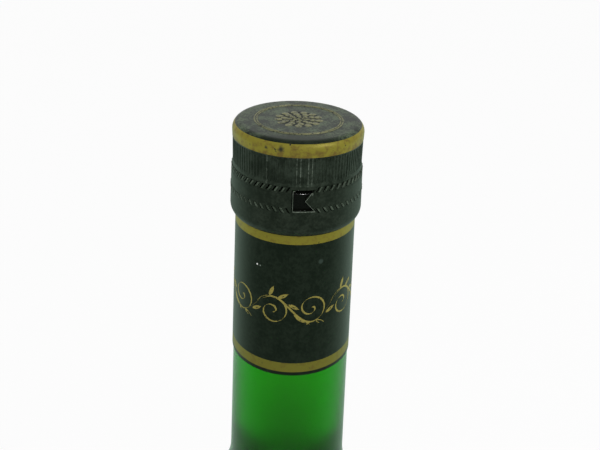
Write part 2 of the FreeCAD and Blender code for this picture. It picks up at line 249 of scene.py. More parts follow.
def mouldedPlastic(name, dark, worn, wear, roughness, grain, paintedFrontShade=0.0, spread=0.07,
                   ribHighlights=(), specks=()):
    # polypropylene, injection moulded and handled for years: a satin greenish black, rubbed paler
    # in small patches, with painted highlight lines along a few ribs, that turns grey where it is
    # seen at a slant; specks are bits of dust that stick to it, and on the skirt a painted glint
    made, tree, output, place = newMaterial(name)
    patches = addNode(tree, "ShaderNodeTexNoise", {}, {
        "Vector": place, "Scale": 1 / plasticLook["patch"], "Detail": 5.0, "Roughness": 0.65})
    scuffs = addNode(tree, "ShaderNodeTexNoise", {}, {
        "Vector": place, "Scale": 1 / grain, "Detail": 4.0, "Roughness": 0.7})
    both = addNode(tree, "ShaderNodeMath", {"operation": "MULTIPLY"}, {
        0: patches.outputs["Fac"], 1: scuffs.outputs["Fac"]})
    wearAndSheen = addNode(tree, "ShaderNodeMapRange", {}, {
        "Value": both.outputs[0], "From Min": plasticLook["halfWorn"] - spread,
        "From Max": plasticLook["halfWorn"] + spread, "To Max": wear})
    across = addNode(tree, "ShaderNodeSeparateXYZ", {}, {0: place})
    # painted shade: towards the front less of the wear shows, so the front is darker
    kept = addNode(tree, "ShaderNodeMapRange", {}, {
        "Value": across.outputs["Y"], "From Min": plasticLook["frontShadeFade"][0],
        "From Max": plasticLook["frontShadeFade"][1], "To Min": 1 - paintedFrontShade})
    worked = addNode(tree, "ShaderNodeMath", {"operation": "MULTIPLY"}, {
        0: wearAndSheen.outputs[0], 1: kept.outputs[0]})
    colour = addNode(tree, "ShaderNodeMix", {"data_type": "RGBA"}, {
        0: worked.outputs[0], 6: linear(dark), 7: linear(worn)})
    # painted highlight: a pale line along each listed rib, broken up by the wear pattern
    for azimuth, width in ribHighlights:
        line = onWall(azimuth, capSettings["ribRadius"], 0)
        flat = addNode(tree, "ShaderNodeVectorMath", {"operation": "MULTIPLY"}, {0: place, 1: (1, 1, 0)})
        away = addNode(tree, "ShaderNodeVectorMath", {"operation": "DISTANCE"}, {0: flat.outputs[0], 1: line})
        near = addNode(tree, "ShaderNodeMapRange", {}, {
            "Value": away.outputs["Value"], "From Max": width, "To Min": 1.1, "To Max": 0.0})
        pale = addNode(tree, "ShaderNodeMath", {"operation": "MULTIPLY", "use_clamp": True}, {
            0: near.outputs[0], 1: wearAndSheen.outputs[0]})
        colour = addNode(tree, "ShaderNodeMix", {"data_type": "RGBA"}, {
            0: pale.outputs[0], 6: colour.outputs[2], 7: linear(plasticLook["wearAndSheen"])})
    for centre, size, dustAndGlint in specks:
        away = addNode(tree, "ShaderNodeVectorMath", {"operation": "DISTANCE"}, {0: place, 1: centre})
        fleck = addNode(tree, "ShaderNodeMapRange", {}, {
            "Value": away.outputs["Value"], "From Min": size * 0.5, "From Max": size,
            "To Min": 1.0, "To Max": 0.0})
        colour = addNode(tree, "ShaderNodeMix", {"data_type": "RGBA"}, {
            0: fleck.outputs[0], 6: colour.outputs[2], 7: linear(dustAndGlint)})
    rough = addNode(tree, "ShaderNodeMapRange", {}, {
        "Value": patches.outputs["Fac"], "To Min": roughness - 0.08, "To Max": roughness + 0.1})
    bump = addNode(tree, "ShaderNodeBump", {}, {
        "Strength": 0.3, "Distance": plasticLook["bump"], "Height": scuffs.outputs["Fac"]})
    surface = addNode(tree, "ShaderNodeBsdfPrincipled", {}, {
        "Base Color": colour.outputs[2], "Roughness": rough.outputs[0], "IOR": plasticLook["ior"],
        "Specular Tint": linear(plasticLook["sheen"]), "Normal": bump.outputs[0]})
    tree.links.new(surface.outputs[0], output.inputs["Surface"])
    return made


gildingLook = {
    "cloud": 1.5 * mm,
    "footFade": 1.5 * mm,  # how far up from a band's foot it is duller
    "footLoss": 0.15,
    "bare": "#1F241D",
    "metal": 0.35,
    "roughness": 0.4,
    "bump": 0.03 * mm,
}


def stampedGilding(name, gold, tarnish, bareShare, pitSize, foot=0.0, chips=()):
    # metallic foil stamped hot on the plastic: a dull olive gold, browner in patches, rubbed
    # through to the black in pits
    made, tree, output, place = newMaterial(name)
    clouds = addNode(tree, "ShaderNodeTexNoise", {}, {
        "Vector": place, "Scale": 1 / gildingLook["cloud"], "Detail": 5.0, "Roughness": 0.65})
    pits = addNode(tree, "ShaderNodeTexNoise", {}, {
        "Vector": place, "Scale": 1 / pitSize, "Detail": 4.0, "Roughness": 0.55})
    across = addNode(tree, "ShaderNodeSeparateXYZ", {}, {0: place})
    above = addNode(tree, "ShaderNodeMapRange", {}, {
        "Value": across.outputs["Z"], "From Min": foot, "From Max": foot + gildingLook["footFade"],
        "To Min": -gildingLook["footLoss"], "To Max": 0.0})
    lifted = addNode(tree, "ShaderNodeMath", {"operation": "MINIMUM"}, {0: above.outputs[0], 1: 0.0})
    toned = addNode(tree, "ShaderNodeMath", {"operation": "ADD"}, {
        0: clouds.outputs["Fac"], 1: lifted.outputs[0]})
    tone = addNode(tree, "ShaderNodeMapRange", {}, {
        "Value": toned.outputs[0], "From Min": 0.33, "From Max": 0.5})
    foil = addNode(tree, "ShaderNodeMix", {"data_type": "RGBA"}, {
        0: tone.outputs[0], 6: linear(tarnish), 7: linear(gold)})
    covered = addNode(tree, "ShaderNodeMapRange", {}, {
        "Value": pits.outputs["Fac"], "From Min": bareShare - 0.03, "From Max": bareShare + 0.03})
    cover = covered.outputs[0]
    for azimuth, height, size in chips:
        away = addNode(tree, "ShaderNodeVectorMath", {"operation": "DISTANCE"}, {
            0: place, 1: onWall(azimuth, capHigh.x, height)})
        ragged = addNode(tree, "ShaderNodeMath", {"operation": "MULTIPLY"}, {
            0: away.outputs["Value"], 1: pits.outputs["Fac"]})
        kept = addNode(tree, "ShaderNodeMapRange", {}, {
            "Value": ragged.outputs[0], "From Min": size * 0.15, "From Max": size * 0.5, "To Min": 0.1})
        cover = addNode(tree, "ShaderNodeMath", {"operation": "MULTIPLY"}, {
            0: cover, 1: kept.outputs[0]}).outputs[0]
    colour = addNode(tree, "ShaderNodeMix", {"data_type": "RGBA"}, {
        0: cover, 6: linear(gildingLook["bare"]), 7: foil.outputs[2]})
    metal = addNode(tree, "ShaderNodeMath", {"operation": "MULTIPLY"}, {0: cover, 1: gildingLook["metal"]})
    bump = addNode(tree, "ShaderNodeBump", {}, {
        "Strength": 0.25, "Distance": gildingLook["bump"], "Height": pits.outputs["Fac"]})
    surface = addNode(tree, "ShaderNodeBsdfPrincipled", {}, {
        "Base Color": colour.outputs[2], "Metallic": metal.outputs[0],
        "Roughness": gildingLook["roughness"], "Normal": bump.outputs[0]})
    tree.links.new(surface.outputs[0], output.inputs["Surface"])
    return made


def polishedPlastic():
    # the same black plastic from a polished mould: nearly black, with one sharp glint
    made, tree, output, place = newMaterial("polishedBlackPolypropylene")
    ripples = addNode(tree, "ShaderNodeTexNoise", {}, {"Vector": place, "Scale": 1 / (3 * mm)})
    rough = addNode(tree, "ShaderNodeMapRange", {}, {
        "Value": ripples.outputs["Fac"], "To Min": 0.14, "To Max": 0.22})
    surface = addNode(tree, "ShaderNodeBsdfPrincipled", {}, {
        "Base Color": linear("#080A07"), "Roughness": rough.outputs[0], "IOR": plasticLook["ior"],
        "Specular IOR Level": 0.35})
    tree.links.new(surface.outputs[0], output.inputs["Surface"])
    return made


def greenBottleGlass():
    # emerald container glass, blown in a mould: deep saturated green with a soft, faintly
    # uneven skin, and pale edges where it mirrors the room at a slant
    made, tree, output, place = newMaterial("mouldBlownEmeraldGlass")
    drift = addNode(tree, "ShaderNodeTexNoise", {}, {
        "Vector": place, "Scale": 1 / (9 * mm), "Detail": 3.0})
    rough = addNode(tree, "ShaderNodeMapRange", {}, {
        "Value": drift.outputs["Fac"], "To Min": glassLook["roughness"] - 0.04,
        "To Max": glassLook["roughness"] + 0.04})
    bump = addNode(tree, "ShaderNodeBump", {}, {
        "Strength": 0.15, "Distance": 0.1 * mm, "Height": drift.outputs["Fac"]})
    surface = addNode(tree, "ShaderNodeBsdfPrincipled", {}, {
        "Base Color": linear(glassLook["skin"]), "Roughness": rough.outputs[0], "IOR": 1.52,
        "Transmission Weight": glassLook["clear"], "Normal": bump.outputs[0]})
    tree.links.new(surface.outputs[0], output.inputs["Surface"])
    depth = addNode(tree, "ShaderNodeVolumeAbsorption", {}, {
        "Color": linear(glassLook["depth"]), "Density": glassLook["density"]})
    tree.links.new(depth.outputs[0], output.inputs["Volume"])
    return made


def amberSpirit():
    # a clear amber spirit: it only tints the light that crosses it
    made, tree, output, _ = newMaterial("clearAmberSpirit")
    surface = addNode(tree, "ShaderNodeBsdfPrincipled", {}, {
        "Base Color": linear("#FFFFFF"), "Roughness": 0.0, "IOR": 1.36, "Transmission Weight": 1.0})
    tree.links.new(surface.outputs[0], output.inputs["Surface"])
    depth = addNode(tree, "ShaderNodeVolumeAbsorption", {}, {
        "Color": linear(drinkLook["depth"]), "Density": drinkLook["density"]})
    tree.links.new(depth.outputs[0], output.inputs["Volume"])
    return made


capSettings = {
    "steps": 224,
    "innerRadius": 14.25 * mm,
    "rootRadius": 15.38 * mm,  # softer than the moulded depth, as handling has worn it
    "ribRadius": 15.5 * mm,
    "ledgeRadius": 15.58 * mm,
    "ledgeHeight": 0.8 * mm,
    "ledgeSlope": (0.3 * mm, 0.15 * mm),  # from how far under its height to how far over it
    "bandHeight": 4.0 * mm,
    "bandSwell": (0.05 * mm, 0.055 * mm),
    "edgeRadius": 2.1 * mm,
    "goldFoot": 0.28 * mm,  # bare plastic under the gilding
    "goldEnd": 46,  # degrees up the rounded edge to where the gilding stops
    "relief": 0.12 * mm,
    "ringRadii": (10.6 * mm, 10.05 * mm),
    "ringWidth": 0.35 * mm,
    "paintedShadeRadius": 5.3 * mm,  # the ground between the rosette's petals, painted darker as shade
    "ribCount": 112,
    "ribWidth": 0.42 * mm,
    "ribBevel": 0.13 * mm,
    "ribBite": (0.2 * mm, 0.1 * mm),  # how far a rib runs into the ledge and into the band
    # ribs that carry a painted highlight line, and that line's width
    "highlightedRibs": ((-8, 0.28), (0, 0.16), (1, 0.24), (3, 0.22), (4, 0.14)),  # rib, width in mm
    "dullDrop": 3.7 * mm,  # from the cap's top down to where the gilding is dullest
    # azimuth, depth under the cap's top and size of the chips in the gilding
    "chips": ((-13.5, 1.95 * mm, 0.95 * mm), (-26.5, 2.1 * mm, 0.6 * mm), (43, 1.9 * mm, 0.3 * mm)),
}
ribStep = 360 / capSettings["ribCount"]

glassLook = {"skin": "#B8D2A8", "depth": "#9CFF30", "density": 600.0, "roughness": 0.17, "clear": 0.985}
drinkLook = {"depth": "#FBF31A", "density": 35.0}
wallPlastic = mouldedPlastic("mouldedBlackPolypropylene", "#171F17", "#2E372D", 0.7, 0.42, 0.6 * mm)
ribbedPlastic = mouldedPlastic("ribbedBlackPolypropylene", "#1A221A", "#343E34", 0.8, 0.38, 0.6 * mm,
                               ribHighlights=[(rib * ribStep, width * mm) for rib, width in capSettings["highlightedRibs"]])
# the top's front is painted darker as shade, by taking most of its wear away there
topPlastic = mouldedPlastic("rubbedBlackPolypropylene", "#131C13", "#56644C", 0.9, 0.4, 0.5 * mm, 0.9, 0.045)
# pale plastic for the window's edges: a painted highlight
edgeHighlightPlastic = mouldedPlastic("paintedEdgeHighlightPolypropylene", "#5A6558", "#8E998B", 0.7, 0.4, 0.4 * mm)
# paler plastic on the ridges beside the slits: a painted highlight of their lit faces
ridgeHighlightPlastic = mouldedPlastic("paintedRidgeHighlightPolypropylene", "#2E382D", "#5A6558", 0.8, 0.38, 0.3 * mm)
rimChips = [(azimuth, capHigh.z - drop, size) for azimuth, drop, size in capSettings["chips"]]
rimGilding = stampedGilding("hotStampedGilding", "#9A9130", "#806D2D", 0.3, 0.9 * mm,
                            capHigh.z - capSettings["dullDrop"], rimChips)
bandGilding = stampedGilding("printedGoldBand", "#928A2A", "#847628", 0.27, 0.9 * mm)
# the lower gold band: the same print, painted darker as shade because less light falls there
shadedBandGilding = stampedGilding("printedGoldBandPaintedShade", "#7F7B28", "#766C27", 0.27, 0.9 * mm)
# darker plastic painted as shade on the ground between the rosette's petals
paintedShadePlastic = mouldedPlastic("paintedShadeBlackPolypropylene", "#080C08", "#20261D", 0.7, 0.55, 0.5 * mm)
reliefGilding = stampedGilding("rubbedReliefGilding", "#87885F", "#62664B", 0.43, 0.4 * mm)
vineGilding = stampedGilding("printedGoldInk", "#A89C4C", "#8F8444", 0.34, 0.5 * mm)
collarPlastic = polishedPlastic()
greenGlass = greenBottleGlass()
spirit = amberSpirit()
print("materials made")

glassSettings = {
    "steps": 144,
    "arcSteps": 14,
    "cornerSteps": 6,
    "wall": 3.3 * mm,
    "heelRadius": 6 * mm,
    "bearingWidth": 3.4 * mm,
    "puntDepth": 11 * mm,
    "baseThickness": 5 * mm,
    "crownRadius": 40 * mm,
    "flareRadius": 30 * mm,
    "shoulderSlope": 34.0,
    "neckFootHeight": 201.3 * mm,
    "neckWidening": 3.6 * mm,
    "skirtWall": 0.2 * mm,
    "skirtClearance": 0.1 * mm,
    "finishStep": 0.7 * mm,
    "finishWall": 4.15 * mm,
    "boreTaperLength": 20 * mm,
    "lipRadius": 1.2 * mm,
}
glassRadius = glassHigh.x
neckTopHeight = skirtHigh.z
neckTaper = glassSettings["neckWidening"] / 2 / (neckTopHeight - glassSettings["neckFootHeight"])
skirtWall = glassSettings["skirtWall"]
skirtTopRadius = skirtHigh.x - (skirtHigh.z - skirtLow.z) * neckTaper
neckTopRadius = skirtTopRadius - skirtWall - glassSettings["skirtClearance"]


def neckRadius(height):
    return neckTopRadius + (neckTopHeight - height) * neckTaper


def shoulderPoints(inset, lowEnd):
    # body wall, crown, slope and flare up to the foot of the neck, a given depth inside the glass
    slope = glassSettings["shoulderSlope"]
    taper = math.degrees(math.atan(neckTaper))
    crown = glassSettings["crownRadius"] - inset
    flare = glassSettings["flareRadius"] + inset
    footHeight = glassSettings["neckFootHeight"]
    flareCentre = (neckRadius(footHeight) - inset + flare * math.cos(math.radians(taper)),
                   footHeight + flare * math.sin(math.radians(taper)))
    flareArc = arcPoints(flareCentre, flare, 180 + slope, 180 + taper, glassSettings["arcSteps"])
    crownAcross = glassRadius - inset - crown
    sine, cosine = math.sin(math.radians(slope)), math.cos(math.radians(slope))
    run = (crownAcross + crown * cosine - flareArc[0][0]) / sine
    crownUp = flareArc[0][1] - run * cosine - crown * sine
    crownArc = arcPoints((crownAcross, crownUp), crown, 0, slope, glassSettings["arcSteps"])
    return [(glassRadius - inset, lowEnd)] + crownArc + flareArc


def domePoints(radius, low, rise, count):
    # a shallow dome from its top on the axis down to its rim
    ball = (radius ** 2 + rise ** 2) / (2 * rise)
    reach = math.degrees(math.asin(radius / ball))
    return arcPoints((0, low + rise - ball), ball, 90, 90 - reach, count)


def insidePoints(reach, top, topRadius):
    # the inside of the glass; a reach over zero goes that far into the wall
    inset = glassSettings["wall"] - reach
    floorHeight = glassSettings["baseThickness"] - reach
    corner = glassSettings["heelRadius"]
    count = glassSettings["cornerSteps"]
    line = domePoints(glassRadius - 2 * corner - glassSettings["bearingWidth"], floorHeight,
                      glassSettings["puntDepth"], count * 2)
    line += arcPoints((glassRadius - inset - corner, floorHeight + corner), corner, -90, 0, count)
    line += shoulderPoints(inset, floorHeight + corner)[1:]
    if top > neckTopHeight:
        taperFoot = neckTopHeight - glassSettings["boreTaperLength"]
        line += [(neckRadius(taperFoot) - inset, taperFoot), (topRadius, neckTopHeight)]
    return line + [(topRadius, top)]


heel = glassSettings["heelRadius"]
lip = glassSettings["lipRadius"]
finishRadius = neckTopRadius - glassSettings["finishStep"]
mouth = glassHigh.z
cornerSteps = glassSettings["cornerSteps"]
glassLine = domePoints(glassRadius - heel - glassSettings["bearingWidth"], 0,
                       glassSettings["puntDepth"], cornerSteps * 2)
glassLine += arcPoints((glassRadius - heel, heel), heel, -90, 0, cornerSteps)
glassLine += shoulderPoints(0, heel)[1:]
glassLine += [(neckTopRadius, neckTopHeight), (finishRadius, neckTopHeight)]
glassLine += arcPoints((finishRadius - lip, mouth - lip), lip, 0, 90, cornerSteps)
glassLine += insidePoints(0, mouth, finishRadius - glassSettings["finishWall"])[::-1]
glass = turnedPiece("glassShell", glassLine, glassSettings["steps"], [greenGlass])
smooth(glass, 50)
settle(glass, "green_glass", "bottle_glass")

drinkSettings = {
    "reach": 0.15 * mm,  # how far it goes into the wall, so that no air shows between them
    "meniscus": 1.2 * mm,
    "meniscusShare": 0.82,
}
levelRadius = neckRadius(drinkHigh.z) - glassSettings["wall"] + drinkSettings["reach"]
drinkLine = insidePoints(drinkSettings["reach"], drinkHigh.z, levelRadius)
drinkLine += [(levelRadius * drinkSettings["meniscusShare"], drinkHigh.z - drinkSettings["meniscus"]),
              (0, drinkHigh.z - drinkSettings["meniscus"])]
drink = turnedPiece("cognacFill", drinkLine, glassSettings["steps"], [spirit])
smooth(drink, 50)
settle(drink, "cognac", "cognac")
print("glass and drink made")

capFace = capHigh.z - capSettings["relief"]
bandFoot = capHigh.z - capSettings["bandHeight"]
ledgeTop = capLow.z + capSettings["ledgeHeight"]
bandRadius = capHigh.x
edge = capSettings["edgeRadius"]
edgeCentre = (bandRadius - edge, capFace - edge)
goldEnd = capSettings["goldEnd"]
capLine = [
    (0, mouth),
    (capSettings["innerRadius"], mouth),
    (capSettings["innerRadius"], capLow.z),
    (capSettings["ledgeRadius"], capLow.z),
    (capSettings["ledgeRadius"], ledgeTop - capSettings["ledgeSlope"][0]),
    (capSettings["rootRadius"], ledgeTop + capSettings["ledgeSlope"][1]),
    (capSettings["rootRadius"], bandFoot),
    (capSettings["ribRadius"], bandFoot),
    (capSettings["ribRadius"] + capSettings["bandSwell"][0], bandFoot + 0.1 * mm),
    (capSettings["ribRadius"] + capSettings["bandSwell"][1], bandFoot + capSettings["goldFoot"]),
]
capLine += arcPoints(edgeCentre, edge, 0, goldEnd, 8)
capLine += arcPoints(edgeCentre, edge, goldEnd, 90, 8)[1:]
for outside in capSettings["ringRadii"]:
    width = capSettings["ringWidth"]
    capLine += [(outside, capFace), (outside - width * 0.25, capHigh.z),
                (outside - width * 0.75, capHigh.z), (outside - width, capFace)]
capLine += [(capSettings["paintedShadeRadius"], capFace), (0, capFace)]
cap = turnedPiece("capShell", capLine, capSettings["steps"],
                  [ribbedPlastic, topPlastic, rimGilding, reliefGilding, paintedShadePlastic])
goldTop = edgeCentre[1] + edge * math.sin(math.radians(goldEnd))
paintFaces(cap, 2, lambda radius, height: bandFoot + capSettings["goldFoot"] < height < goldTop
           and radius > capSettings["ribRadius"] - mm)
paintFaces(cap, 1, lambda radius, height: height > goldTop)
paintFaces(cap, 3, lambda radius, height: height > capFace + hair)
paintFaces(cap, 4, lambda radius, height: height > mouth + hair and radius < capSettings["paintedShadeRadius"])

# one rib, bevelled, then copied round the wall; it runs into the ledge and the band
ribFoot = ledgeTop - capSettings["ribBite"][0]
ribTop = bandFoot + capSettings["ribBite"][1]
ribDepth = capSettings["ribRadius"] - capSettings["rootRadius"]
rib = startPiece("rib", bpy.ops.mesh.primitive_cube_add, size=1,
                 location=front * capSettings["rootRadius"] + Vector((0, 0, (ribFoot + ribTop) / 2)),
                 scale=(capSettings["ribWidth"], 2 * ribDepth, ribTop - ribFoot))
endPiece(rib, [ribbedPlastic])
selectWhere(rib, lambda centre, normal: normal.y < -0.5)
bpy.ops.mesh.bevel(offset=capSettings["ribBevel"], segments=2)
endPiece(rib)
ribs = movedCopies("ribs", rib, [turned(i * ribStep) for i in range(capSettings["ribCount"])])
cap = joined("capShell", cap, ribs)
smooth(cap, 35)
settle(cap, "closure_plastic", "cap")
print("cap made")

rosetteSettings = {
    # reach, petals, turn and length of each row
    "rows": ((5.8 * mm, 13, 0, 1.9 * mm), (4.25 * mm, 10, 9, 1.6 * mm), (2.75 * mm, 8, 0, 1.25 * mm),
             (1.5 * mm, 5, 20, 0.9 * mm)),
    "crowding": 0.72,  # over half, so that neighbouring petals overlap
    "lift": 0.11 * mm,
    "button": 0.45 * mm,
}


def rosetteDisc(name, place, radius, stretch, lift):
    # a disc, stretched along one way and raised in two steps
    disc = startPiece(name, bpy.ops.mesh.primitive_circle_add, vertices=20, radius=radius,
                      fill_type="NGON", location=place)
    bpy.ops.transform.resize(value=(1, stretch, 1))
    bpy.ops.mesh.inset(thickness=radius * 0.35)
    bpy.ops.transform.translate(value=(0, 0, lift * 0.7))
    bpy.ops.mesh.inset(thickness=radius * 0.35)
    bpy.ops.transform.translate(value=(0, 0, lift * 0.3))
    return endPiece(disc, [reliefGilding])


discs = [rosetteDisc("button", (0, 0, capFace), rosetteSettings["button"], 1, rosetteSettings["lift"])]
for reach, count, turn, length in rosetteSettings["rows"]:
    halfLength = length / 2
    halfWidth = rosetteSettings["crowding"] * math.pi * (reach - halfLength) / count
    petal = rosetteDisc("petal", (0, halfLength - reach, capFace), halfWidth,
                        halfLength / halfWidth, rosetteSettings["lift"])
    discs.append(movedCopies("petals", petal, [turned(turn + i * 360 / count) for i in range(count)]))
rosette = joined("capRosette", *discs)
smooth(rosette, 60)
settle(rosette, "closure_plastic")
print("rosette made")

ringSettings = {
    "steps": 168,
    "innerRadius": 15.1 * mm,
    "shoulderHeight": 2.1 * mm,
    "flare": 0.26 * mm,
    "curlHeight": 1.97 * mm,
    "curlRadius": 3.0 * mm,
    "windowAzimuth": 6.4,
    "windowHeight": 5.3 * mm,
    # sideways from the window's azimuth: its left edge, its upper and lower point and its notch
    "windowEdge": -2.7 * mm,
    "windowPoints": (2.65 * mm, 3.1 * mm),
    "windowNotch": 0.55 * mm,
    "frameOutside": 0.12 * mm,
    "frameInside": 0.08 * mm,
    "frameDepth": 0.3 * mm,
    "frameCorner": 0.8 * mm,  # how far the frame runs along the window's top
    "frameLift": 0.03 * mm,
    "frameCuts": 9,
    "cutDepth": 3 * mm,
    "slitCount": 58,
    "slitWidth": 0.45 * mm,
    "slitHeight": 1.25 * mm,
    "slitLean": 0.75 * mm,
    "slitTopMargin": 0.125 * mm,
    "slitEnds": (3.33 * mm, 3.6 * mm),  # from the window's azimuth to the nearest slit, right and left
    "bandHeight": 5.0 * mm,
    # the ridge beside each slit; pairs are for the upper and the lower row
    "rowSwell": (-0.1 * mm, 0.13 * mm),  # how far the wall stands out there
    "tabWidth": (0.46 * mm, 0.52 * mm),
    "tabShift": (1.75, 1.15),  # degrees from the slit to the ridge's middle
    "tabDepth": 0.6 * mm,
    "tabLift": 0.08 * mm,
    "tabShare": 0.9,  # its height against the slit's
    "tabBevel": 0.1 * mm,
}
flaredRadius = ringHigh.x
ringRadius = flaredRadius - ringSettings["flare"]
curl = ringSettings["curlRadius"]
curlAngle = math.degrees(math.asin(ringSettings["curlHeight"] / curl))
halfSlit = ringSettings["slitHeight"] / 2
upperRow = ringHigh.z - ringSettings["slitTopMargin"] - halfSlit
lowerRow = upperRow - ringSettings["bandHeight"]
shoulderFoot = ringHigh.z - ringSettings["shoulderHeight"]
ringLine = [(ringSettings["innerRadius"], ringLow.z)]
ringLine += arcPoints((flaredRadius - curl, ringLow.z + ringSettings["curlHeight"]), curl, -curlAngle, 0, 8)
flareLength = shoulderFoot - ringLow.z - ringSettings["curlHeight"]
# the wall gets its rows of points clear of the slits, and flares towards its foot
for height in (lowerRow - halfSlit - 0.45 * mm, lowerRow - halfSlit - 0.1 * mm,
               lowerRow + halfSlit + 0.15 * mm, lowerRow + 2.5 * halfSlit,
               upperRow - 2.5 * halfSlit, upperRow - halfSlit - 0.4 * mm):
    ringLine.append((ringRadius + ringSettings["flare"] * (shoulderFoot - height) / flareLength, height))
# the shoulder draws in to the cap's ledge
ringLine += [
    (ringRadius - 0.02 * mm, shoulderFoot + 0.1 * mm),
    (ringRadius - 0.1 * mm, shoulderFoot + 0.8 * mm),
    (capSettings["ledgeRadius"] + 0.04 * mm, ringHigh.z - 0.4 * mm),
    (capSettings["ledgeRadius"] - 0.02 * mm, ringHigh.z),
    (ringSettings["innerRadius"], ringHigh.z),
]
ring = turnedPiece("tamperBand", ringLine, ringSettings["steps"], [wallPlastic], closed=True)

# the window: a flat outline with a notch in its right side
windowEdge = ringSettings["windowEdge"]
upperPoint, lowerPoint = ringSettings["windowPoints"]
windowFoot = upperRow - ringSettings["windowHeight"]
windowMiddle = (upperRow + windowFoot) / 2
windowTurn = turned(ringSettings["windowAzimuth"])


def windowOutline(name, depth):
    outline = startPiece(name, bpy.ops.mesh.primitive_plane_add, size=mm)
    drawLine([Vector((across, -depth, up)) for across, up in (
        (windowEdge, upperRow), (windowEdge, windowFoot), (lowerPoint, windowFoot),
        (ringSettings["windowNotch"], windowMiddle), (upperPoint, upperRow))],
        closed=True)
    weldAll()
    bpy.ops.mesh.edge_face_add()
    return outline


# the frame: a thin pale bead along the window's edges, laid on the wall, a painted highlight of the window's
# rounded edges
frameBead = windowOutline("windowFrame", flaredRadius + mm)
bpy.ops.mesh.inset(thickness=ringSettings["frameOutside"], use_outset=True)
endPiece(frameBead, [edgeHighlightPlastic])
selectWhere(frameBead, lambda centre, normal: abs(centre.x) < upperPoint * 0.6
            and abs(centre.z - windowMiddle) < ringSettings["windowHeight"] * 0.3)
bpy.ops.mesh.inset(thickness=ringSettings["frameInside"])
bpy.ops.mesh.delete(type="FACE")
bpy.ops.mesh.select_all(action="SELECT")
bpy.ops.mesh.subdivide(number_cuts=ringSettings["frameCuts"])
# the pale highlight ends soon after the top left corner, and short of the upper point
selectWhere(frameBead, lambda centre, normal: centre.z > upperRow - 0.1 * mm
            and centre.x > windowEdge + ringSettings["frameCorner"]
            or centre.z > upperRow - 0.5 * mm and centre.x > upperPoint * 0.7)
bpy.ops.mesh.delete(type="FACE")
endPiece(frameBead)
frameBead.data.transform(windowTurn)
applyModifier(frameBead, "SHRINKWRAP", target=ring, wrap_method="NEAREST_SURFACEPOINT",
              wrap_mode="ABOVE_SURFACE", offset=ringSettings["frameLift"])
applyModifier(frameBead, "SOLIDIFY", thickness=ringSettings["frameDepth"], offset=-1)

cutter = windowOutline("windowCutter", ringSettings["innerRadius"] - mm)
bpy.ops.mesh.extrude_region_move(TRANSFORM_OT_translate={"value": front * ringSettings["cutDepth"]})
endPiece(cutter, [wallPlastic])
cutter.data.transform(windowTurn)
applyModifier(ring, "BOOLEAN", object=cutter, operation="DIFFERENCE", solver="EXACT")
bpy.data.objects.remove(cutter)


def leaningBar(name, size, radius, height, lean, material):
    # an upright bar at the front, whose top is then pushed to the side
    bar = startPiece(name, bpy.ops.mesh.primitive_cube_add, size=1, scale=size,
                     location=front * radius + Vector((-lean / 2, 0, height)))
    endPiece(bar, [material])
    selectWhere(bar, lambda centre, normal: normal.z > 0.5)
    bpy.ops.transform.translate(value=(lean, 0, 0))
    return bar


endAngles = [360 * reach / (fullTurn * ringRadius) for reach in ringSettings["slitEnds"]]
slitStep = (360 - sum(endAngles)) / (ringSettings["slitCount"] - 1)
slitAzimuths = [ringSettings["windowAzimuth"] + endAngles[0] + i * slitStep
                for i in range(ringSettings["slitCount"])]
tabs = []
for index, (row, lean) in enumerate(((upperRow, ringSettings["slitLean"]),
                                     (lowerRow, -ringSettings["slitLean"]))):
    radius = ringRadius + ringSettings["rowSwell"][index]
    slit = leaningBar("slit", (ringSettings["slitWidth"], ringSettings["cutDepth"],
                               ringSettings["slitHeight"]), radius, row, lean, wallPlastic)
    endPiece(slit)
    slits = movedCopies("slits", slit, [turned(azimuth) for azimuth in slitAzimuths])
    applyModifier(ring, "BOOLEAN", object=slits, operation="DIFFERENCE", solver="EXACT")
    bpy.data.objects.remove(slits)
    depth = ringSettings["tabDepth"]
    tab = leaningBar("tab", (ringSettings["tabWidth"][index], depth,
                             ringSettings["slitHeight"] * ringSettings["tabShare"]),
                     radius + ringSettings["tabLift"] - depth / 2, row, lean, ridgeHighlightPlastic)
    selectWhere(tab, lambda centre, normal: normal.y < -0.5)
    bpy.ops.mesh.bevel(offset=ringSettings["tabBevel"], segments=2)
    endPiece(tab)
    tabs.append(movedCopies("tabs", tab, [turned(azimuth + ringSettings["tabShift"][index])
                                          for azimuth in slitAzimuths[:-1]]))
ring = joined("tamperBand", ring, frameBead, *tabs)
smooth(ring, 35)
settle(ring, "closure_plastic", "tamper_ring")
print("tamper ring made")

collarSettings = {"steps": 128, "innerRadius": 14.0 * mm, "edge": 0.6 * mm}
collarEdge = collarSettings["edge"]
collarLine = [(collarSettings["innerRadius"], collarLow.z), (collarHigh.x, collarLow.z)]
collarLine += arcPoints((collarHigh.x - collarEdge, collarHigh.z - collarEdge), collarEdge, 0, 90, 6)
collarLine += [(collarSettings["innerRadius"], collarHigh.z)]
collar = turnedPiece("collarTube", collarLine, collarSettings["steps"], [collarPlastic], closed=True)
smooth(collar, 50)
settle(collar, "inner_plastic", "inner_collar")

skirtSettings = {
    "steps": 168,
    "bands": ((238.15 * mm, 240.9 * mm), (274.5 * mm, 276.75 * mm)),  # foot and top of each gold band
    "edge": 0.05 * mm,
    # azimuth, height, size and colour of each speck: the white one and the grey one beside it are a painted
    # glint, the dark one at the right is dust
    "specks": ((-35, 267.6 * mm, 0.27 * mm, "#F4F6F2"), (-31.6, 267.5 * mm, 0.2 * mm, "#8C968C"),
               (25.6, 269.6 * mm, 0.75 * mm, "#323F38")),
}


def skirtRadius(height):
    return neckRadius(height) + glassSettings["skirtClearance"] + skirtWall


